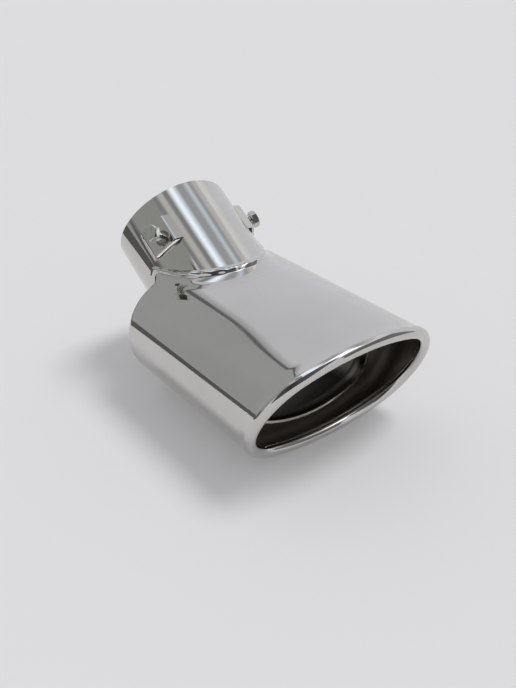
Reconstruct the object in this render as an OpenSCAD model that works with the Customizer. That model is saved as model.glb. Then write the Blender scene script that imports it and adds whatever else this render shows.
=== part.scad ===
// Bent exhaust tip: a round clamp-on neck welded into an oval body with a slanted, rolled mouth.
// Origin: centre of the neck's open end. +X runs to the mouth, +Z is up, the belly lies flat below.

/* [Neck tube] */
// outside diameter of the round neck, mm
neck_od = 63; // [62:0.5:65]
// slope of the neck above the level body, degrees
neck_tilt = 32; // [30:1:34]
// length of the neck tube, from its open end to its end inside the body, mm
neck_len = 68; // [67:1:70]
// thickness of the stainless sheet, mm
sheet_t = 1.2; // [1:0.1:1.5]

/* [Clamp bridges] */
// distance from the open end to the near edge of the bridges, mm
bridge_from_end = 13; // [10:1:16]
// length of each bridge along the neck, mm
bridge_len = 15; // [13:0.5:17]
// half length of a bridge's flat, round the neck, mm
bridge_flat = 6; // [5.5:0.25:7]
// height of a bridge's underside over the neck's outside, mm
bridge_rise = 1.3; // [1:0.1:2]
// inside radius of a bridge's two bends, mm
bridge_bend_r = 0.8; // [0.5:0.1:1.2]
// turn of each bend from the flat into its leg, degrees
bridge_bend = 55; // [50:1:60]
// turn of the first clamp round the neck, from its underside, degrees
clamp_turn = 110; // [90:5:130]

/* [Clamp screws] */
// thread diameter, mm
screw_d = 5; // [4.5:0.5:6]
// length under the head, mm
screw_len = 6; // [5.5:0.5:8]
// width of the hexagon head across its flats, mm
head_af = 8; // [8:0.5:10]
// height of the head, mm
head_h = 3.5; // [3:0.25:4.5]
// gap between the right screw's tip and the bore, as stored, mm
right_back = 0.2; // [0.1:0.1:2]
// gap between the left screw's tip and the bore, as stored, mm
left_back = 2.2; // [0.1:0.1:2.2]
// gap between the screw's tip and the bore underneath, as stored, mm
under_back = 1; // [0.1:0.1:2]
// thread clearance on the radius, mm
thread_clear = 0.05; // [0.04:0.01:0.1]

/* [Oval body] */
// width of the body, mm
body_w = 103; // [98:1:110]
// height of the body, mm
body_h = 65; // [63:1:67]
// height of the neck's open end over the belly, mm
neck_height = 71; // [70:1:74]
// distance along the body from the open end to the rear wall, mm
rear_x = 34; // [31:1:36]
// distance along the neck from its open end to the first metal of the body, mm
neck_free = 37.3; // [37:0.1:38]
// radius of the edge round the rear wall, mm
rear_edge_r = 4; // [3:0.5:6]

/* [Mouth] */
// distance along the body from the open end to the middle of the mouth, mm
mouth_x = 137; // [127:1:150]
// lean of the mouth, its top forward, degrees
mouth_lean = 24; // [18:1:28]
// outside radius of the rolled lip, mm
lip_r = 3; // [2.5:0.1:4]
// height of the rolled lip over the body's outside, mm
lip_proud = 0.6; // [0.5:0.05:0.8]

/* [Inner outlet] */
// distance from the body's outside to the outlet at the sides, mm
outlet_side = 18; // [16.5:0.5:20]
// distance from the body's outside to the outlet above and below, before its drop, mm
outlet_rim = 15; // [14:0.5:16]
// drop of the outlet below the middle of the body, mm
ring_drop = 3; // [1:0.5:4]
// distance along the body from the open end to the outlet's edge, mm
ring_x = 118; // [114:1:119]
// radius of the beaded edge round the outlet, mm
bead_r = 1.2; // [1:0.1:1.4]
// length of the straight collar behind the bead, mm
collar_len = 2; // [1:0.5:4]
// radius of the dish's flare outside the collar, mm
flare_r = 7; // [6:0.5:8]

/* [Hidden] */
$fn = 96;
over = 1;                                   // reach of a cut past the face it opens
tab = 2;                                    // overlap of neighbouring parts of one sheet
neck_r = neck_od / 2;
bore_r = neck_r - sheet_t;
clamp_step = 360 / 3;
bridge_in = neck_r + bridge_rise;
bridge_out = bridge_in + sheet_t;
bend_out_r = bridge_bend_r + sheet_t;
bend_x = bridge_in - bridge_bend_r;
screw_r = screw_d / 2;
screw_back = [right_back, left_back, under_back];
tip_cone = screw_r / 5;
head_r = head_af / 2 / cos(30);
head_bevel = head_r - head_af / 2;
body_z = body_h / 2 - neck_height;
lip_inset = lip_r - lip_proud;              // from the body's outside to the roll's centre line
lip_a = body_w / 2 - lip_inset;
lip_c = round(20 * (body_h / 2 - lip_inset) / cos(mouth_lean)) / 20;
wall_lean = atan(tan(mouth_lean) * (body_h - 2 * lip_inset) / body_h);
lip_end = 215;                              // the roll's free edge, counted from outwards over the front
lip_turn = 307;                             // turn of the sheet round the roll, from behind the wall
block = 4 * body_w;                         // size of a cutting block, larger than the whole tip
line_rise = 12;                             // direction of the lines through the ovals' joints
line_run = 5;
line_long = 13;
ring_a = body_w / 2 - outlet_side;
ring_c = body_h / 2 - outlet_rim;
collar_from = ring_x - bead_r - collar_len;     // where the flare turns into the collar
flat_from = flare_r + sheet_t;

// An oval has half width a, half height c and four tangent arcs. The lines from the arcs' centres
// through their joints rise 12 for every 5 across, so the sides' radius is 13 steps short of the big one.
function oval_step(a, c) = (a - c) / 4;
function side_x(a, c) = line_run * oval_step(a, c);
function big_y(a, c) = line_rise * oval_step(a, c);
function side_arc(a, c) = a - side_x(a, c);
function big_arc(a, c) = c + big_y(a, c);

module oval(a, c) {
    join_x = side_x(a, c) + side_arc(a, c) * line_run / line_long;
    intersection() {
        translate([0, -big_y(a, c)]) circle(r = big_arc(a, c));
        translate([0, big_y(a, c)]) circle(r = big_arc(a, c));
        translate([-join_x, -c]) square([2 * join_x, 2 * c]);
    }
    for (s = [-1, 1]) translate([s * side_x(a, c), 0]) circle(r = side_arc(a, c));
}

// space between two lines that leave an arc's centre through its two joints
module arc_space(points) {
    translate([0, 0, -block / 2]) linear_extrude(block) polygon(points);
}

// sweeps a section round that oval: section x outwards from the oval, section y along the axis
module oval_sweep(a, c) {
    across = line_run * body_w;
    up = line_rise * body_w;
    for (s = [-1, 1]) {
        intersection() {
            translate([0, -s * big_y(a, c), 0])
                rotate_extrude() translate([big_arc(a, c), 0]) children();
            translate([0, -s * big_y(a, c), 0])
                arc_space([[0, 0], [across, s * up], [-across, s * up]]);
        }
        intersection() {
            translate([s * side_x(a, c), 0, 0])
                rotate_extrude() translate([side_arc(a, c), 0]) children();
            translate([s * side_x(a, c), 0, 0])
                arc_space([[0, 0], [s * across, up], [s * across, -up]]);
        }
    }
}

// part of a ring of sheet, from the angle a0 over the angle sweep
module sheet_arc(r_out, a0, sweep) {
    reach = 4 * r_out;
    steps = [for (i = [0 : 6]) a0 + sweep * i / 6];
    intersection() {
        difference() {
            circle(r = r_out);
            circle(r = r_out - sheet_t);
        }
        polygon(concat([[0, 0]], [for (t = steps) reach * [cos(t), sin(t)]]));
    }
}

module in_neck() rotate([0, 90 + neck_tilt, 0]) children();
module in_body() translate([0, 0, body_z]) rotate([90, 0, 90]) children();
module in_mouth() translate([mouth_x, 0, body_z]) rotate([0, mouth_lean, 0]) rotate([90, 0, 90]) children();
module at_clamp(i) in_neck() rotate([0, 0, clamp_turn + i * clamp_step]) children();

// neck tube with its three lanced bridges

module bridge_leg() {
    translate([bend_x, bridge_flat]) {
        sheet_arc(bend_out_r, 0, bridge_bend);
        rotate([0, 0, bridge_bend]) translate([bridge_bend_r, 0])
            square([sheet_t, 2 * bend_out_r]);
    }
}

module bridge_section() {
    translate([bridge_in, -bridge_flat]) square([sheet_t, 2 * bridge_flat]);
    bridge_leg();
    mirror([0, 1]) bridge_leg();
}

// opening left in the wall under a bridge, its sides in line with the legs' inner faces
module bridge_window() {
    foot = bore_r / 2;
    foot_y = bridge_flat + (bridge_bend_r + (bend_x - foot) * cos(bridge_bend)) / sin(bridge_bend);
    knee = [bend_x + bridge_bend_r * cos(bridge_bend), bridge_flat + bridge_bend_r * sin(bridge_bend)];
    polygon([[foot, -foot_y], [knee[0], -knee[1]], knee, [foot, foot_y]]);
}

module neck_tube() color([0.80, 0.80, 0.80]) {
    difference() {
        union() {
            difference() {
                in_neck() cylinder(r = neck_r, h = neck_len);
                for (i = [0 : 2]) at_clamp(i) translate([0, 0, bridge_from_end])
                    linear_extrude(bridge_len) bridge_window();
            }
            for (i = [0 : 2]) at_clamp(i) translate([0, 0, bridge_from_end])
                linear_extrude(bridge_len) bridge_section();
        }
        in_neck() translate([0, 0, -over]) cylinder(r = bore_r, h = neck_len + 2 * over);
        for (i = [0 : 2]) at_clamp(i) translate([0, 0, bridge_from_end + bridge_len / 2])
            rotate([0, 90, 0]) cylinder(r = screw_r + thread_clear, h = bridge_out + over);
    }
}

// clamp screws, backed out clear of the bore

module hex_head() {
    intersection() {
        cylinder(r = head_r, h = head_h, $fn = 6);
        union() {
            cylinder(r = head_r, h = head_h - head_bevel);
            translate([0, 0, head_h - head_bevel])
                cylinder(r1 = head_r, r2 = head_af / 2 - head_bevel / 2, h = head_bevel);
        }
    }
}

module clamp_screw(i) color([0.72, 0.72, 0.70])
    at_clamp(i) translate([0, 0, bridge_from_end + bridge_len / 2]) rotate([0, 90, 0])
        translate([0, 0, bore_r + screw_back[i]]) {
            cylinder(r1 = screw_r - tip_cone, r2 = screw_r, h = tip_cone);
            translate([0, 0, tip_cone]) cylinder(r = screw_r, h = screw_len - tip_cone);
            translate([0, 0, screw_len]) hex_head();
        }

module clamp_screw_right() clamp_screw(0);
module clamp_screw_left() clamp_screw(1);
module clamp_screw_under() clamp_screw(2);

// oval body: wall, rear wall with its rounded edge, rolled lip

module body_wall() {
    difference() {
        in_body() translate([0, 0, rear_x + rear_edge_r]) linear_extrude(mouth_x) difference() {
            oval(body_w / 2, body_h / 2);
            oval(body_w / 2 - sheet_t, body_h / 2 - sheet_t);
        }
        translate([mouth_x, 0, body_z]) rotate([0, wall_lean, 0])
            translate([0, -block / 2, -block / 2]) cube(block);
    }
}

module rear_edge_section() {
    sheet_arc(rear_edge_r, -90, 90);
    translate([-tab, -rear_edge_r]) square([tab, sheet_t]);
    translate([rear_edge_r - sheet_t, 0]) square([sheet_t, tab]);
}

module rear_wall() {
    edge_in = rear_edge_r;
    flat_in = rear_edge_r + tab / 2;
    in_body() {
        translate([0, 0, rear_x + rear_edge_r])
            oval_sweep(body_w / 2 - edge_in, body_h / 2 - edge_in) rear_edge_section();
        translate([0, 0, rear_x]) linear_extrude(sheet_t)
            oval(body_w / 2 - flat_in, body_h / 2 - flat_in);
    }
}

module rolled_lip() {
    in_mouth() oval_sweep(lip_a, lip_c)
        sheet_arc(lip_r, lip_end - lip_turn, lip_turn);
}

module body_shell() color([0.78, 0.78, 0.78]) {
    difference() {
        union() {
            body_wall();
            rear_wall();
            rolled_lip();
        }
        in_neck() cylinder(r = neck_r, h = neck_len);
        in_neck() cylinder(r = body_w, h = neck_free);
    }
}

// dish behind the lip, drawn forward into a collar with a beaded edge round the inner outlet:
// section x runs outwards from the outlet, section y along the body
module dish_section() {
    translate([bead_r, ring_x - bead_r]) circle(r = bead_r);
    translate([0, collar_from]) square([sheet_t, collar_len + bead_r]);
    translate([flat_from, collar_from]) sheet_arc(flat_from, 180, 90);
    translate([flat_from, collar_from - flat_from]) square([tab, sheet_t]);
}

module inner_dish() color([0.40, 0.39, 0.38])
    in_body() {
        translate([0, -ring_drop, 0]) oval_sweep(ring_a, ring_c) dish_section();
        translate([0, 0, collar_from - flat_from]) linear_extrude(sheet_t) difference() {
            oval(body_w / 2 - sheet_t, body_h / 2 - sheet_t);
            translate([0, -ring_drop]) oval(ring_a + flat_from + tab / 2, ring_c + flat_from + tab / 2);
        }
    }

neck_tube();
body_shell();
inner_dish();
clamp_screw_left();
clamp_screw_right();
clamp_screw_under();
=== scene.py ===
import math

import bmesh
import bpy
from mathutils import Matrix, Vector


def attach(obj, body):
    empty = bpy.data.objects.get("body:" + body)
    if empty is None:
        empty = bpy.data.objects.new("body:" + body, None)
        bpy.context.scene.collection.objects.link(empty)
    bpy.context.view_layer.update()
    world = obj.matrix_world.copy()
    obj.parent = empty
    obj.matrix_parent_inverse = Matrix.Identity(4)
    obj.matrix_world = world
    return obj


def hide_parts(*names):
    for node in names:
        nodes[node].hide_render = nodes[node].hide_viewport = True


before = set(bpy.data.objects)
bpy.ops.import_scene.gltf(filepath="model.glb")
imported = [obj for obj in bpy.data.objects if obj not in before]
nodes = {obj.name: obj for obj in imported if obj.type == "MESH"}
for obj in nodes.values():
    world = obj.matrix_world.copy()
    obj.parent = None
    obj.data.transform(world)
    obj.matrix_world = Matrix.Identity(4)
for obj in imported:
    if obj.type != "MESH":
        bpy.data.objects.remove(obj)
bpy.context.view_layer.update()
mm = 0.001
print("frame loaded:", ", ".join(sorted(nodes)))

neckTilt = math.radians(32)                     # the neck runs down into the body from the origin
mouthMiddle = (137 * mm, 0, -38.5 * mm)         # centre of the lip's leaning plane
mouthLean = math.radians(24)


def linked(name, data):
    thing = bpy.data.objects.new(name, data)
    bpy.context.scene.collection.objects.link(thing)
    return thing


# camera

camera = {    # degrees round the tip and the camera's own turn, then metres, pixels and millimetres
    "azimuth": 53.79, "elevation": 30.1, "roll": 0.92,
    "distance": 0.39456, "target": (0.07446, 0.00086, -0.04271),
    "focalPixels": 784.3, "longSide": 688, "sensor": 36.0, "clip": (0.01, 50),
}


def placeCamera():
    data = bpy.data.cameras.new("camera")
    data.sensor_width = camera["sensor"]
    data.lens = camera["sensor"] * camera["focalPixels"] / camera["longSide"]
    data.clip_start, data.clip_end = camera["clip"]
    thing = linked("camera", data)
    a, e = math.radians(camera["azimuth"]), math.radians(camera["elevation"])
    back = Vector((math.sin(a) * math.cos(e), -math.cos(a) * math.cos(e), math.sin(e)))
    right = Vector((math.cos(a), math.sin(a), 0))
    up = back.cross(right)
    axes = Matrix((right, up, back)).transposed()
    turned = axes @ Matrix.Rotation(-math.radians(camera["roll"]), 3, "Z")
    place = Vector(camera["target"]) + back * camera["distance"]
    thing.matrix_world = Matrix.Translation(place) @ turned.to_4x4()
    bpy.context.scene.camera = thing


placeCamera()
bpy.context.scene.view_settings.view_transform = "Standard"
print("camera placed")


# shader graphs: a socket with arithmetic, and one way to add any node

class Wire:
    def __init__(self, graph, socket):
        self.graph, self.socket = graph, socket

    def joined(self, operation, other, swapped=False):
        pair = (other, self) if swapped else (self, other)
        return self.graph.add("ShaderNodeMath", {"operation": operation}, {0: pair[0], 1: pair[1]})

    def __add__(self, other): return self.joined("ADD", other)
    def __radd__(self, other): return self.joined("ADD", other, True)
    def __sub__(self, other): return self.joined("SUBTRACT", other)
    def __rsub__(self, other): return self.joined("SUBTRACT", other, True)
    def __mul__(self, other): return self.joined("MULTIPLY", other)
    def __rmul__(self, other): return self.joined("MULTIPLY", other, True)
    def __truediv__(self, other): return self.joined("DIVIDE", other)
    def __rtruediv__(self, other): return self.joined("DIVIDE", other, True)
    def __gt__(self, other): return self.joined("GREATER_THAN", other)
    def __lt__(self, other): return self.joined("LESS_THAN", other)


class Graph:
    def __init__(self, tree):
        self.tree = tree
        tree.nodes.clear()

    def add(self, kind, settings=None, inputs=None, output=0):
        node = self.tree.nodes.new(kind)
        for key, value in (settings or {}).items():
            if key == "stops":
                fillRamp(node.color_ramp, value)
            else:
                setattr(node, key, value)
        for key, value in (inputs or {}).items():
            if isinstance(value, Wire):
                self.tree.links.new(value.socket, node.inputs[key])
            else:
                node.inputs[key].default_value = value
        return Wire(self, node.outputs[output]) if node.outputs else None

    def place(self, scale=(1, 1, 1), turn=(0, 0, 0)):    # object coordinates, turned and stretched
        point = {"vector_type": "POINT"}
        where = self.coordinate("Object")
        turned = self.add("ShaderNodeMapping", point, {"Vector": where, "Rotation": turn})
        return self.add("ShaderNodeMapping", point, {"Vector": turned, "Scale": scale})

    def noise(self, where, scale, detail=3.0, roughness=0.5):
        return self.add("ShaderNodeTexNoise", {"noise_dimensions": "3D"},
                        {"Vector": where, "Scale": scale, "Detail": detail, "Roughness": roughness})

    def ramp(self, factor, stops):
        return self.add("ShaderNodeValToRGB", {"stops": stops}, {"Fac": factor})

    def fade(self, factor, black, white):
        return self.ramp(factor, [(black, (0, 0, 0)), (white, (1, 1, 1))])

    def mix(self, factor, first, second, blend="MIX"):
        return self.add("ShaderNodeMix", {"data_type": "RGBA", "blend_type": blend},
                        {0: factor, 6: first, 7: second}, output=2)

    def larger(self, first, second):
        return self.add("ShaderNodeMath", {"operation": "MAXIMUM"}, {0: first, 1: second})

    def coordinate(self, kind):
        return self.add("ShaderNodeTexCoord", output=kind)

    def vector(self, operation, first, second=None):
        inputs = {0: first} if second is None else {0: first, 1: second}
        return self.add("ShaderNodeVectorMath", {"operation": operation}, inputs)

    def dot(self, first, second):
        return self.add("ShaderNodeVectorMath", {"operation": "DOT_PRODUCT"},
                        {0: first, 1: second}, "Value")

    def bump(self, height, distance, strength=1.0, normal=None):
        inputs = {"Height": height, "Distance": distance, "Strength": strength}
        if normal:
            inputs["Normal"] = normal
        return self.add("ShaderNodeBump", {}, inputs)


def fillRamp(ramp, stops):
    while len(ramp.elements) > 1:
        ramp.elements.remove(ramp.elements[-1])
    for index, (position, colour) in enumerate(stops):
        point = ramp.elements[0] if index == 0 else ramp.elements.new(position)
        point.position = position
        point.color = colour if len(colour) == 4 else (*colour, 1)


def metal(name, inputs, build=None):
    material = bpy.data.materials.new(name)
    material.use_nodes = True
    graph = Graph(material.node_tree)
    values = dict(inputs)
    if build:
        values.update(build(graph))
    shader = graph.add("ShaderNodeBsdfPrincipled", {}, values)
    graph.add("ShaderNodeOutputMaterial", {}, {"Surface": shader})
    return material


# polished stainless steel, rougher where the buffing wheel doesn't reach, with painted shade on its
# inner faces

steel = {
    "colour": (0.645, 0.628, 0.602), "worn": (0.602, 0.586, 0.562),
    "roughness": 0.035, "smudge": 0.035, "line": 0.02,
    "inside": (0.32, 0.30, 0.27), "insideRoughness": 0.25,    # painted shade on the inner faces, which are also unpolished and so much rougher
    "linePitch": 900, "lineStretch": 0.02,      # buffing lines: a metre, and along the stroke
    "lineDepth": 0.0004 * mm,
    "waveSize": 28, "waveDepth": 0.07 * mm,     # slow waves left in the sheet by forming
    "smudgeSize": 45, "smudgeFrom": 0.45, "smudgeFull": 0.75,
    "toneSize": 12, "toneShare": 0.6, "toneFrom": 0.35, "toneFull": 0.7,
    "hiddenFrom": 62.5 * mm,                    # along the neck, where it is inside the body
    "facingAxis": -0.3, "facingIn": -0.5,       # how far faces turn inwards to count as inner ones
    "lipDepth": 2 * mm,                         # the lip is polished this far behind its plane
}


def polishedBuild(turn, stretch, inside=None):
    def build(graph):
        flow = graph.place(scale=stretch, turn=turn)
        plain = graph.place()
        lines = graph.noise(flow, steel["linePitch"], 2.0, 0.6)
        smudge = graph.noise(plain, steel["smudgeSize"], 4.0, 0.6)
        wave = graph.noise(plain, steel["waveSize"], 1.0, 0.4)
        tone = graph.noise(plain, steel["toneSize"], 2.0, 0.5)
        cloud = tone * steel["toneShare"] + smudge * (1 - steel["toneShare"])
        colour = graph.mix(graph.fade(cloud, steel["toneFrom"], steel["toneFull"]),
                           (*steel["colour"], 1), (*steel["worn"], 1))
        smear = graph.fade(smudge, steel["smudgeFrom"], steel["smudgeFull"])
        roughness = steel["roughness"] + steel["smudge"] * smear + steel["line"] * lines
        if inside:                              # the tube's inner wall is left unpolished and rougher, and is painted darker as shade
            dull = inside(graph)
            colour = graph.mix(dull, colour, (*steel["inside"], 1))
            roughness = roughness + steel["insideRoughness"] * dull
        waves = graph.bump(wave, steel["waveDepth"])
        return {"Base Color": colour, "Roughness": roughness,
                "Normal": graph.bump(lines, steel["lineDepth"], 1.0, waves)}
    return build


def insideNeck(graph):    # 1 on faces towards the neck's axis, and where the body hides it
    where, faces = graph.coordinate("Object"), graph.coordinate("Normal")
    axis = (math.cos(neckTilt), 0, -math.sin(neckTilt))
    radial = graph.vector("SUBTRACT", where, graph.vector("PROJECT", where, axis))
    outward = graph.vector("NORMALIZE", radial)
    return graph.larger(graph.dot(faces, outward) < steel["facingAxis"],
                        graph.dot(where, axis) > steel["hiddenFrom"])


def insideBody(graph):    # 1 on the body's inner faces, behind the rolled lip
    where, faces = graph.coordinate("Object"), graph.coordinate("Normal")
    off = graph.vector("SUBTRACT", where, mouthMiddle)
    outward = graph.vector("NORMALIZE", graph.vector("MULTIPLY", off, (0, 1, 1)))
    inward = graph.dot(faces, outward) - graph.dot(faces, (1, 0, 0)) < steel["facingIn"]
    front = (math.cos(mouthLean), 0, -math.sin(mouthLean))
    return inward * (graph.dot(off, front) < -steel["lipDepth"])


neckTurn, roundNeck = (0, -neckTilt, 0), (1, steel["lineStretch"], steel["lineStretch"])
level, alongBody = (0, 0, 0), (steel["lineStretch"], 1, 1)
bare = {"Metallic": 1.0}

polishedNeck = metal("polishedNeck", bare, polishedBuild(neckTurn, roundNeck, insideNeck))
polishedBody = metal("polishedBody", bare, polishedBuild(level, alongBody, insideBody))
polishedStrip = metal("polishedStrip", bare, polishedBuild(level, alongBody))


# inner sheet: as pressed, matt, and browned a little by the gas

innerSheet = {
    "colour": (0.36, 0.335, 0.30), "warm": (0.25, 0.22, 0.185),
    "roughness": 0.36, "cloudRoughness": 0.12,
    "cloud": 40, "cloudFrom": 0.35, "cloudFull": 0.7, "grain": 260, "grainDepth": 0.006 * mm,
    "bead": (0.62, 0.57, 0.51),                 # the outlet's bead is painted brighter, a painted highlight along its rolled edge
    "beadHighlightFrom": 112.5 * mm, "beadHighlightFull": 115.6 * mm, "beadRoughness": 0.22,
}


def innerBuild(graph):
    plain = graph.place()
    cloud = graph.noise(plain, innerSheet["cloud"], 4.0, 0.6)
    grain = graph.noise(plain, innerSheet["grain"], 3.0, 0.6)
    reach = innerSheet["beadHighlightFull"] - innerSheet["beadHighlightFrom"]
    share = (graph.dot(graph.coordinate("Object"), (1, 0, 0)) - innerSheet["beadHighlightFrom"]) / reach
    # painted highlight: the colour brightens towards the outlet's bead, which is also smoother
    bead = graph.ramp(share, [(0.0, (0, 0, 0)), (0.5, (0.25, 0.25, 0.25)), (1.0, (1, 1, 1))])
    colour = graph.mix(graph.fade(cloud, innerSheet["cloudFrom"], innerSheet["cloudFull"]),
                       (*innerSheet["colour"], 1), (*innerSheet["warm"], 1))
    rough = innerSheet["roughness"] + innerSheet["cloudRoughness"] * cloud
    return {"Base Color": graph.mix(bead, colour, (*innerSheet["bead"], 1)),
            "Roughness": rough + bead * (innerSheet["beadRoughness"] - rough),
            "Normal": graph.bump(grain, innerSheet["grainDepth"])}


innerMetal = metal("innerMetal", bare, innerBuild)


# screws: bright zinc with a faint yellow-green cast

zinc = {
    "colour": (0.62, 0.63, 0.58), "dull": (0.50, 0.51, 0.455),
    "roughness": 0.08, "cloudRoughness": 0.1,
    "cloud": 300, "cloudFrom": 0.4, "cloudFull": 0.65, "grain": 900, "grainDepth": 0.004 * mm,
}


def zincBuild(graph):
    plain = graph.place()
    cloud = graph.noise(plain, zinc["cloud"], 3.0, 0.6)
    grain = graph.noise(plain, zinc["grain"], 2.0, 0.5)
    colour = graph.mix(graph.fade(cloud, zinc["cloudFrom"], zinc["cloudFull"]),
                       (*zinc["colour"], 1), (*zinc["dull"], 1))
    return {"Base Color": colour, "Roughness": zinc["roughness"] + zinc["cloudRoughness"] * cloud,
            "Normal": graph.bump(grain, zinc["grainDepth"])}


zincMetal = metal("zincMetal", bare, zincBuild)


def coat(thing, material):
    thing.data.materials.clear()
    thing.data.materials.append(material)


coat(nodes["neck_tube"], polishedNeck)
coat(nodes["body_shell"], polishedBody)
coat(nodes["inner_dish"], innerMetal)
print("metals made")


# weld: a bead round the neck, and below it the concave rise of the body's sheet

neckRadius = 31.5 * mm
shell = {"halfWidth": 51.5 * mm, "halfHeight": 32.5 * mm, "middle": -38.5 * mm,
         "rear": 34 * mm, "edge": 4 * mm}
weld = {    # the rise and the bead up the neck, the reach over the body, and the crease's opening
    "rise": 3.6 * mm, "bead": 4.4 * mm, "beadHeight": 1.0 * mm, "beadRound": 1.3,
    "reach": 6.0 * mm, "opening": 1.2 * mm,
    "around": 300, "beadSteps": 12, "across": 12, "lift": 0.01 * mm,
    "ripples": ((5, 0.10), (13, 0.14), (29, 0.20)),    # the bead's waves round the neck, and their share
}

neckAxis = Vector((math.cos(neckTilt), 0, -math.sin(neckTilt)))
neckTop = Vector((math.sin(neckTilt), 0, math.cos(neckTilt)))
neckSide = Vector((0, 1, 0))

small = 0.01 * mm                               # step for slopes worked out from distances
arcSide, arcTop = 5, 12                         # the ovals' arcs meet along a 5-12-13 triangle


def ovalArcs(halfWidth, halfHeight):            # how far the side and top arcs' centres are out
    step = (halfWidth - halfHeight) / 4
    return arcSide * step, arcTop * step


def ovalDistance(y, z):                         # to the body's outline: four tangent arcs
    sideX, bigY = ovalArcs(shell["halfWidth"], shell["halfHeight"])
    y, z = abs(y), abs(z - shell["middle"])
    if (y - sideX) * arcTop > z * arcSide:
        return math.hypot(y - sideX, z) - (shell["halfWidth"] - sideX)
    return math.hypot(y, z + bigY) - (shell["halfHeight"] + bigY)


def bodyWallNormal(point):
    y, z = point.y, point.z
    return Vector((0, ovalDistance(y + small, z) - ovalDistance(y - small, z),
                   ovalDistance(y, z + small) - ovalDistance(y, z - small))).normalized()


def bodyDistance(point):                        # to the body, with its rounded rear edge
    side = ovalDistance(point.y, point.z) + shell["edge"]
    end = shell["rear"] - point.x + shell["edge"]
    outside = math.hypot(max(side, 0), max(end, 0))
    return outside + min(max(side, end), 0) - shell["edge"]


def bodyNormal(point):
    steps = (Vector((small, 0, 0)), Vector((0, small, 0)), Vector((0, 0, small)))
    slope = [bodyDistance(point + s) - bodyDistance(point - s) for s in steps]
    return Vector(slope).normalized()


def crossing(outward):                          # where a line along the neck enters the body
    start = outward * neckRadius
    low, high = 0.0, 0.0
    while bodyDistance(start + neckAxis * high) > 0:
        low, high = high, high + 0.5 * mm
    for _ in range(30):
        middle = (low + high) / 2
        low, high = (middle, high) if bodyDistance(start + neckAxis * middle) > 0 else (low, middle)
    return start + neckAxis * high


def meshObject(name, points, faces, material, body):
    mesh = bpy.data.meshes.new(name)
    mesh.from_pydata([tuple(p) for p in points], [], faces)
    mesh.update()
    mesh.shade_smooth()
    thing = linked(name, mesh)
    coat(thing, material)
    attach(thing, body)
    return thing


def overBody(corner, outward, length, steps=10):    # walks over the body, away from the neck
    point, normal = corner.copy(), bodyNormal(corner)
    along = (outward - normal * outward.dot(normal)).normalized()
    for _ in range(steps):
        point += along * length / steps
        point -= bodyNormal(point) * bodyDistance(point)
        normal = bodyNormal(point)
        along = (along - normal * along.dot(normal)).normalized()
    return point


def weldStrip():
    points, faces = [], []
    rows, beadSteps = weld["around"], weld["beadSteps"]
    columns = beadSteps + weld["across"] + 1
    for row in range(rows):
        turn = 2 * math.pi * row / rows
        outward = neckTop * math.cos(turn) + neckSide * math.sin(turn)
        corner = crossing(outward)
        crease = corner - neckAxis * weld["rise"]
        uneven = 1 + sum(share * math.sin(waves * turn + waves * waves)
                         for waves, share in weld["ripples"])
        for step in range(beadSteps):
            t = step / beadSteps
            swell = weld["beadHeight"] * uneven * math.sin(math.pi * t) ** weld["beadRound"]
            points.append(crease - neckAxis * weld["bead"] * (1 - t) + outward * (swell + weld["lift"]))
        handle = overBody(corner, outward, weld["opening"])
        last = overBody(corner, outward, weld["reach"])
        for column in range(weld["across"] + 1):
            t = column / weld["across"]
            point = crease * (1 - t) ** 2 + handle * 2 * t * (1 - t) + last * t ** 2
            points.append(point + outward * weld["lift"])
    for row in range(rows):
        after = (row + 1) % rows
        for column in range(columns - 1):
            a, b = row * columns + column, after * columns + column
            faces.append((a, a + 1, b + 1, b))
    meshObject("weldBlend", points, faces, polishedStrip, "tip")


weldStrip()
print("weld made")


# lip flare: the wall swells smoothly into the rolled lip

lip = {
    "halfWidth": 49.1 * mm, "halfHeight": 32.95 * mm,    # of the roll's centre line
    "radius": 3 * mm,
    "slope": math.radians(10),                  # of the flare where it meets the roll
    "around": 360, "across": 16, "tuck": 0.012 * mm,
}


def ovalPoint(halfWidth, halfHeight, turn):     # point and outward direction on such an oval
    sideX, bigY = ovalArcs(halfWidth, halfHeight)
    y, z = math.sin(turn), math.cos(turn)
    if abs(y) * arcTop > abs(z) * arcSide:
        radius, y0, z0 = halfWidth - sideX, math.copysign(sideX, y), 0
    else:
        radius, y0, z0 = halfHeight + bigY, 0, -math.copysign(bigY, z)
    return y0 + radius * y, z0 + radius * z, y, z


def lipFlare():
    up = Vector((math.sin(mouthLean), 0, math.cos(mouthLean)))
    front = Vector((math.cos(mouthLean), 0, -math.sin(mouthLean)))
    ahead, middle = Vector((1, 0, 0)), Vector(mouthMiddle)
    points, faces, columns = [], [], lip["across"] + 1
    for row in range(lip["around"]):
        y, z, ny, nz = ovalPoint(lip["halfWidth"], lip["halfHeight"], 2 * math.pi * row / lip["around"])
        centre = middle + Vector((0, y, 0)) + up * z
        outward = Vector((0, ny, 0)) + up * nz
        turn = -math.asin(outward.dot(ahead)) - lip["slope"]    # just behind the roll's level line
        side = outward * math.cos(turn) + front * math.sin(turn)
        end = centre + side * (lip["radius"] - lip["tuck"])
        reach = 2 * ovalDistance(end.y, end.z) / math.tan(lip["slope"])
        foot = end - ahead * reach
        foot -= bodyWallNormal(foot) * ovalDistance(foot.y, foot.z)
        for column in range(columns):
            t = column / (columns - 1)
            point = foot + ahead * reach * t
            point.y += (end.y - foot.y) * t * t
            point.z += (end.z - foot.z) * t * t
            points.append(point)
    for row in range(lip["around"]):
        after = (row + 1) % lip["around"]
        for column in range(columns - 1):
            a, b = row * columns + column, after * columns + column
            faces.append((a, b, b + 1, a + 1))
    meshObject("lipFlare", points, faces, polishedStrip, "tip")


lipFlare()
print("lip flare made")


# clamp screws: hexagon head with a turned chamfer, thread on the shank

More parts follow.
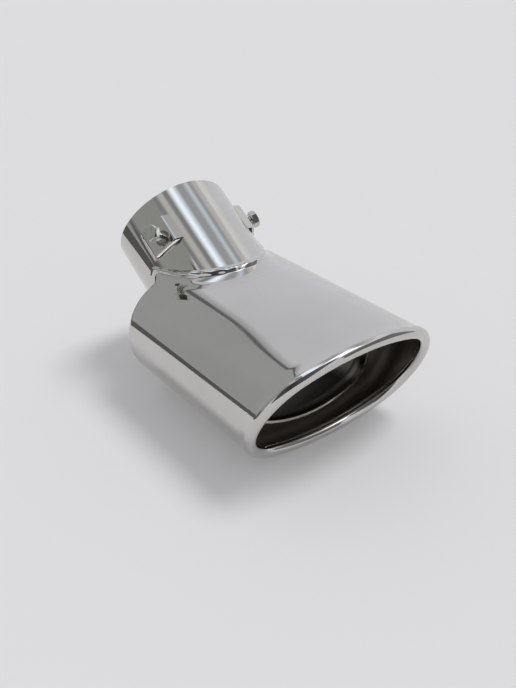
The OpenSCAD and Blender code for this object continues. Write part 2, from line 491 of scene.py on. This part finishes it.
screw = {
    "across": 8 * mm, "head": 3.5 * mm, "length": 6 * mm, "radius": 2.5 * mm,
    "pitch": 0.8 * mm, "depth": 0.45 * mm, "chamfer": math.radians(30), "face": 3.7 * mm,
    "rim": 0.25 * mm, "plain": 0.5 * mm, "tip": 0.5 * mm, "turns": 72,
    "threadSteps": 14, "grooveWidth": 2.3, "runOut": 0.6,    # rings a turn, and the groove in pitches
    "sharp": math.radians(24),                  # edges sharper than this stay crisp
    "faceRings": (0.02, 0.5, 0.9), "under": 0.97, "tipRadius": 0.1 * mm,
    "bore": 30.3 * mm, "along": 20.5 * mm,      # of the neck, and the holes' place along it
    "first": 110, "spacing": 120,               # degrees round the neck, from below
    "gapRight": 0.2 * mm, "gapLeft": 2.2 * mm, "gapUnder": 1.0 * mm,    # from the bore to each point
}


def ringFaces(rows, columns):
    faces = []
    for row in range(rows - 1):
        for column in range(columns):
            after = (column + 1) % columns
            a, b = row * columns, (row + 1) * columns
            faces.append((a + column, a + after, b + after, b + column))
    return faces


def hexRadius(angle):
    sixth = math.pi / 3
    return screw["across"] / 2 / math.cos((angle + sixth / 2) % sixth - sixth / 2)


def headRings():
    count, half = screw["turns"], screw["across"] / 2
    slope = math.tan(screw["chamfer"])
    angles = [2 * math.pi * i / count for i in range(count)]
    rings = []
    for share in screw["faceRings"]:
        rings.append([(screw["face"] * share, a, screw["head"]) for a in angles])
    rings.append([(screw["face"], a, screw["head"]) for a in angles])
    rings.append([(hexRadius(a), a, screw["head"] - (hexRadius(a) - screw["face"]) * slope)
                  for a in angles])
    rings.append([(hexRadius(a), a, screw["rim"] + (hexRadius(a) - half) * slope) for a in angles])
    rings.append([(half * screw["under"], a, 0.0) for a in angles])
    rings.append([(screw["radius"], a, 0.0) for a in angles])
    return rings


def threadRings():
    count = screw["turns"]
    angles = [2 * math.pi * i / count for i in range(count)]
    rings = []
    steps = int(screw["length"] / screw["pitch"] * screw["threadSteps"])
    for row in range(steps + 1):
        depth = screw["length"] * row / steps
        ring = []
        for a in angles:
            phase = (depth / screw["pitch"] + a / (2 * math.pi)) % 1
            groove = max(0.0, 1 - abs(phase - 0.5) * screw["grooveWidth"])
            fade = min(1.0, max(0.0, (depth - screw["plain"]) / (screw["runOut"] * screw["pitch"])))
            radius = screw["radius"] - screw["depth"] * groove * fade
            limit = screw["radius"] - screw["tip"] + (screw["length"] - depth)
            ring.append((min(radius, limit), a, -depth))
        rings.append(ring)
    rings.append([(screw["tipRadius"], a, -screw["length"]) for a in angles])
    return rings


def clampScrew(name, index, tipGap, node, body):
    turn = math.radians(screw["first"] + screw["spacing"] * index)
    outward = -neckTop * math.cos(turn) + neckSide * math.sin(turn)
    sideways = neckAxis.cross(outward)
    seat = neckAxis * screw["along"] + outward * (screw["bore"] + tipGap + screw["length"])
    rings = headRings() + threadRings()
    points = [seat + neckAxis * (r * math.cos(a)) + sideways * (r * math.sin(a)) + outward * h
              for ring in rings for r, a, h in ring]
    faces = ringFaces(len(rings), screw["turns"])
    faces.append(tuple(range(screw["turns"])))
    last = (len(rings) - 1) * screw["turns"]
    faces.append(tuple(range(last + screw["turns"] - 1, last - 1, -1)))
    thing = meshObject(name, points, faces, zincMetal, body)
    edit = bmesh.new()
    edit.from_mesh(thing.data)
    bmesh.ops.recalc_face_normals(edit, faces=edit.faces)
    edit.to_mesh(thing.data)
    edit.free()
    thing.data.set_sharp_from_angle(angle=screw["sharp"])
    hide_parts(node)


clampScrew("clampScrewRight", 0, screw["gapRight"], "clamp_screw_right", "screw_right")
clampScrew("clampScrewLeft", 1, screw["gapLeft"], "clamp_screw_left", "screw_left")
clampScrew("clampScrewUnder", 2, screw["gapUnder"], "clamp_screw_under", "screw_under")
print("clamp screws made")


# studio: pale floor, pale world, and cards that the polished metal mirrors

studio = {
    "floor": (0.62, 0.62, 0.625), "floorGlow": (0.14, 0.14, 0.143),
    "floorSize": 30.0, "floorLevel": -0.0717,
    "worldLow": (0.74, 0.735, 0.755), "worldHigh": (0.70, 0.70, 0.71),
    "fill": 0.72,                               # share of the world's light that falls on the floor
    "silver": 0.64,                             # the neutral metal that the cards' levels are for
    "lampTurn": (0.22, 0.45, 1.0), "lampSpread": 22, "lampPower": 1.48,
}

wall = {    # grey wall of card curved round one side: azimuths, heights as slopes, and levels
    "radius": 4.0, "shadeRadius": 0.97, "sideRadius": 0.98,    # the last two as shares of the first
    "from": 174, "to": 267, "steps": 38, "low": -0.1, "frame": 0.06,
    "top": ((166, 1.3), (236, 1.36), (256, 1.45), (267, 1.55)),
    "gapNear": 0.30, "gapFar": 1.0,
    "card": [(0.0, (0.43, 0.43, 0.42)), (0.6, (0.43, 0.43, 0.42)), (1.0, (0.36, 0.36, 0.34))],
    "gap": [(0.0, (0.12, 0.12, 0.11)), (1.0, (0.12, 0.12, 0.11))],
    "edge": [(0.0, (0.19, 0.19, 0.19)), (1.0, (0.19, 0.19, 0.19))],
    "side": [(0.0, (0.7, 0.7, 0.7)), (0.6, (0.45, 0.45, 0.45)),
             (0.68, (0.15, 0.15, 0.15)), (0.94, (0.15, 0.15, 0.15)), (1.0, (0.36, 0.36, 0.36))],
    "sideRows": 60, "sideColumns": 12,
    "sideWidth": 7,                             # degrees across its bevelled end, whose far edge leans:
    "lean": ((-0.1, 175.5), (0.6, 175.5), (0.93, 173.6), (1.14, 179), (1.3, 184)),
    "shadeAlong": (233, 256), "shadeTop": 0.19,    # a darker foot of the wall: azimuths and slope
    "shade": [(0.0, (0.12, 0.12, 0.11)), (0.45, (0.17, 0.17, 0.16)), (1.0, (0.37, 0.37, 0.35))],
}

tints = {"plain": (1, 1, 1), "warm": (1, 0.97, 0.93), "cool": (0.9, 1, 1.08)}

ceiling = {    # level card overhead: places as slopes from the tip
    "height": 4.6, "alongFrom": -0.56, "alongTo": 1.2,
    "bands": [                                  # of light across the tip, with soft steps between them
        (-0.70, -0.57, 0.30, "plain"), (-0.45, -0.36, 0.65, "warm"), (-0.28, -0.20, 0.30, "plain"),
        (-0.07, -0.02, 1.40, "cool"), (0.15, 0.32, 0.45, "plain"), (0.44, 0.48, 0.80, "cool"),
        (0.58, 0.64, 0.45, "plain"), (0.76, 0.88, 0.65, "warm"), (1.03, 1.15, 0.90, "warm"),
        (1.60, 1.90, 0.75, "plain")],
}

# flat cards that face the tip: azimuth, height angle, distance, half width, half height, levels
cards = {
    "cameraSide": (-36, 41, 0.85, 0.66, 0.42,
                   [(0.0, (0.16, 0.155, 0.15)), (0.45, (0.05, 0.048, 0.045)),
                    (1.0, (0.17, 0.165, 0.16))]),
    "mouthSide": (47, 12, 1.3, 0.60, 0.52,
                  [(0.0, (0.15, 0.145, 0.15)), (0.5, (0.19, 0.18, 0.18)), (1.0, (0.26, 0.25, 0.24))]),
    "mouthLight": (32, 57, 1.6, 0.34, 0.40,
                   [(0.0, (1.3, 1.27, 1.3)), (0.5, (2.4, 2.3, 2.4)), (1.0, (1.5, 1.45, 1.5))]),
}

rampTop = 2.0                                   # a ramp ends at 1, so cards glow twice their ramp


def glowing(name, stops, axis):                 # levels change along an axis, or with a mesh attribute
    material = bpy.data.materials.new(name)
    material.use_nodes = True
    graph = Graph(material.node_tree)
    if axis in "XYZ":
        where = graph.coordinate("Generated")
        along = graph.add("ShaderNodeSeparateXYZ", {}, {"Vector": where}, output=axis)
    else:
        along = graph.add("ShaderNodeAttribute", {"attribute_name": axis}, output="Fac")
    light = graph.add("ShaderNodeEmission", {},
                      {"Color": graph.ramp(along, stops), "Strength": rampTop})
    graph.add("ShaderNodeOutputMaterial", {}, {"Surface": light})
    return material


def shown(stops):                               # levels that the polished steel mirrors as written
    share = studio["silver"] / rampTop
    return [(place, tuple(share * level / own for level, own in zip(colour, steel["colour"])))
            for place, colour in stops]


def stageMesh(name, points, faces, material):
    mesh = bpy.data.meshes.new(name)
    mesh.from_pydata([tuple(p) for p in points], [], faces)
    thing = linked(name, mesh)
    coat(thing, material)
    return thing


def mirroredOnly(thing):                        # shows in the metal, and leaves the floor's light alone
    thing.visible_camera = False
    thing.visible_diffuse = False
    thing.visible_shadow = False


studioMiddle = Vector(camera["target"])         # the cards stand round the point that the camera faces


def between(table, place):                      # smooth steps between the table's places
    for (a, low), (b, high) in zip(table, table[1:]):
        if place <= b:
            t = max(0.0, (place - a) / (b - a))
            return low + (high - low) * t * t * (3 - 2 * t)
    return table[-1][1]


def wallTop(azimuth):
    return between(wall["top"], azimuth)


def aroundWall(name, places, stops, first=wall["from"], last=wall["to"], axis="Y"):
    points, faces = [], []
    for step in range(wall["steps"] + 1):
        azimuth = first + (last - first) * step / wall["steps"]
        a = math.radians(azimuth)
        for radius, height in places(azimuth):    # the strip's two edges
            points.append(studioMiddle + Vector((math.cos(a) * radius, math.sin(a) * radius, height)))
    for step in range(wall["steps"]):
        a = 2 * step
        faces.append((a, a + 1, a + 3, a + 2))
    levels = shown(stops)
    if axis == "Y":                             # Y falls as the azimuth grows
        levels = [(1 - place, colour) for place, colour in reversed(levels)]
    mirroredOnly(stageMesh(name, points, faces, glowing(name + "Grey", levels, axis)))


far, shadeFar = wall["radius"], wall["radius"] * wall["shadeRadius"]
near, beyond = wall["gapNear"], wall["gapFar"]
below = studio["floorLevel"] + 1 * mm - camera["target"][2]    # just over the floor

aroundWall("wallCard", lambda az: ((far, far * wall["low"]), (far, far * wallTop(az))), wall["card"])
aroundWall("wallEdge", lambda az: ((far, far * wallTop(az)),
                                   (far, far * (wallTop(az) + wall["frame"]))), wall["edge"])
aroundWall("wallShade", lambda az: ((shadeFar, below), (shadeFar, far * wall["shadeTop"])),
           wall["shade"], *wall["shadeAlong"], "Z")
aroundWall("wallShadeFoot", lambda az: ((beyond, below + mm), (shadeFar, below + mm)),
           wall["gap"], *wall["shadeAlong"])
aroundWall("wallGap", lambda az: ((near, below), (beyond, below)), wall["gap"])
aroundWall("wallFoot", lambda az: ((beyond, below), (far, below)), wall["card"])


def wallSide():                                 # the wall's bevelled end, its levels given across it
    points, faces, across = [], [], []
    rows, columns = wall["sideRows"], wall["sideColumns"]
    for row in range(rows + 1):
        slope = wall["low"] + (wall["lean"][-1][0] - wall["low"]) * row / rows
        for column in range(columns + 1):
            share = column / columns
            a = math.radians(between(wall["lean"], slope) - wall["sideWidth"] * (1 - share))
            out = Vector((math.cos(a), math.sin(a), slope))
            points.append(studioMiddle + out * far * wall["sideRadius"])
            across.append(share)
    for row in range(rows):
        for column in range(columns):
            a = row * (columns + 1) + column
            faces.append((a, a + 1, a + columns + 2, a + columns + 1))
    material = glowing("wallSideGrey", shown(wall["side"]), "across")
    thing = stageMesh("wallSide", points, faces, material)
    thing.data.attributes.new("across", "FLOAT", "POINT").data.foreach_set("value", across)
    mirroredOnly(thing)


wallSide()


def ceilingCard():
    first, last = ceiling["bands"][0][0], ceiling["bands"][-1][1]
    x0, x1, z = ceiling["alongFrom"], ceiling["alongTo"], 1.0
    stops = [((y - first) / (last - first), tuple(level * part for part in tints[tint]))
             for start, end, level, tint in ceiling["bands"] for y in (start, end)]
    corners = ((x0, first, z), (x1, first, z), (x1, last, z), (x0, last, z))
    points = [studioMiddle + Vector(corner) * ceiling["height"] for corner in corners]
    material = glowing("ceilingGlow", shown(stops), "Y")
    mirroredOnly(stageMesh("ceilingCard", points, [(0, 1, 2, 3)], material))


ceilingCard()


def flatCard(name, azimuth, height, distance, halfWidth, halfHeight, stops):
    a, e = math.radians(azimuth), math.radians(height)
    out = Vector((math.cos(a) * math.cos(e), math.sin(a) * math.cos(e), math.sin(e)))
    across = Vector((-math.sin(a), math.cos(a), 0))
    up = out.cross(across)
    middle = studioMiddle + out * distance
    points = [middle + across * (x * halfWidth) + up * (y * halfHeight)
              for x, y in ((-1, -1), (1, -1), (1, 1), (-1, 1))]
    material = glowing(name + "Glow", shown(stops), "Y")
    mirroredOnly(stageMesh(name, points, [(0, 1, 2, 3)], material))


for cardName, card in cards.items():
    flatCard(cardName, *card)


def floorMaterial():
    material = bpy.data.materials.new("floorPaper")
    material.use_nodes = True
    graph = Graph(material.node_tree)
    paper = graph.add("ShaderNodeBsdfPrincipled", {}, {
        "Base Color": (*studio["floor"], 1), "Roughness": 1.0, "Specular IOR Level": 0.0,
        "Emission Color": (*studio["floorGlow"], 1), "Emission Strength": 1.0})
    graph.add("ShaderNodeOutputMaterial", {}, {"Surface": paper})
    return material


def buildFloor():
    half, level = studio["floorSize"] / 2, studio["floorLevel"]
    corners = ((-half, -half, level), (half, -half, level), (half, half, level), (-half, half, level))
    stageMesh("floor", corners, [(0, 1, 2, 3)], floorMaterial())


def buildWorld():
    world = bpy.data.worlds.new("paleStudio")
    bpy.context.scene.world = world
    world.use_nodes = True
    graph = Graph(world.node_tree)
    where = graph.coordinate("Generated")
    height = graph.add("ShaderNodeSeparateXYZ", {}, {"Vector": where}, output="Z")
    colour = graph.ramp(height, [(0.5, studio["worldLow"]), (0.9, studio["worldHigh"])])
    mirrored = graph.add("ShaderNodeLightPath", output="Is Glossy Ray")
    tint = tuple(studio["silver"] / own for own in steel["colour"])
    seen = graph.mix(1.0, colour, (*tint, 1), "MULTIPLY")
    direct = graph.add("ShaderNodeLightPath", output="Is Camera Ray")
    share = studio["fill"] + (1 - studio["fill"]) * graph.larger(mirrored, direct)
    light = graph.add("ShaderNodeBackground", {},
                      {"Color": graph.mix(mirrored, colour, seen), "Strength": share})
    graph.add("ShaderNodeOutputWorld", {}, {"Surface": light})


def buildLamp():
    data = bpy.data.lights.new("softLamp", "SUN")
    data.angle, data.energy = math.radians(studio["lampSpread"]), studio["lampPower"]
    lamp = linked("softLamp", data)
    lamp.rotation_mode = "QUATERNION"
    lamp.rotation_quaternion = Vector(studio["lampTurn"]).to_track_quat("Z", "Y")
    lamp.visible_glossy = False


buildFloor()
buildWorld()
buildLamp()
print("studio built")
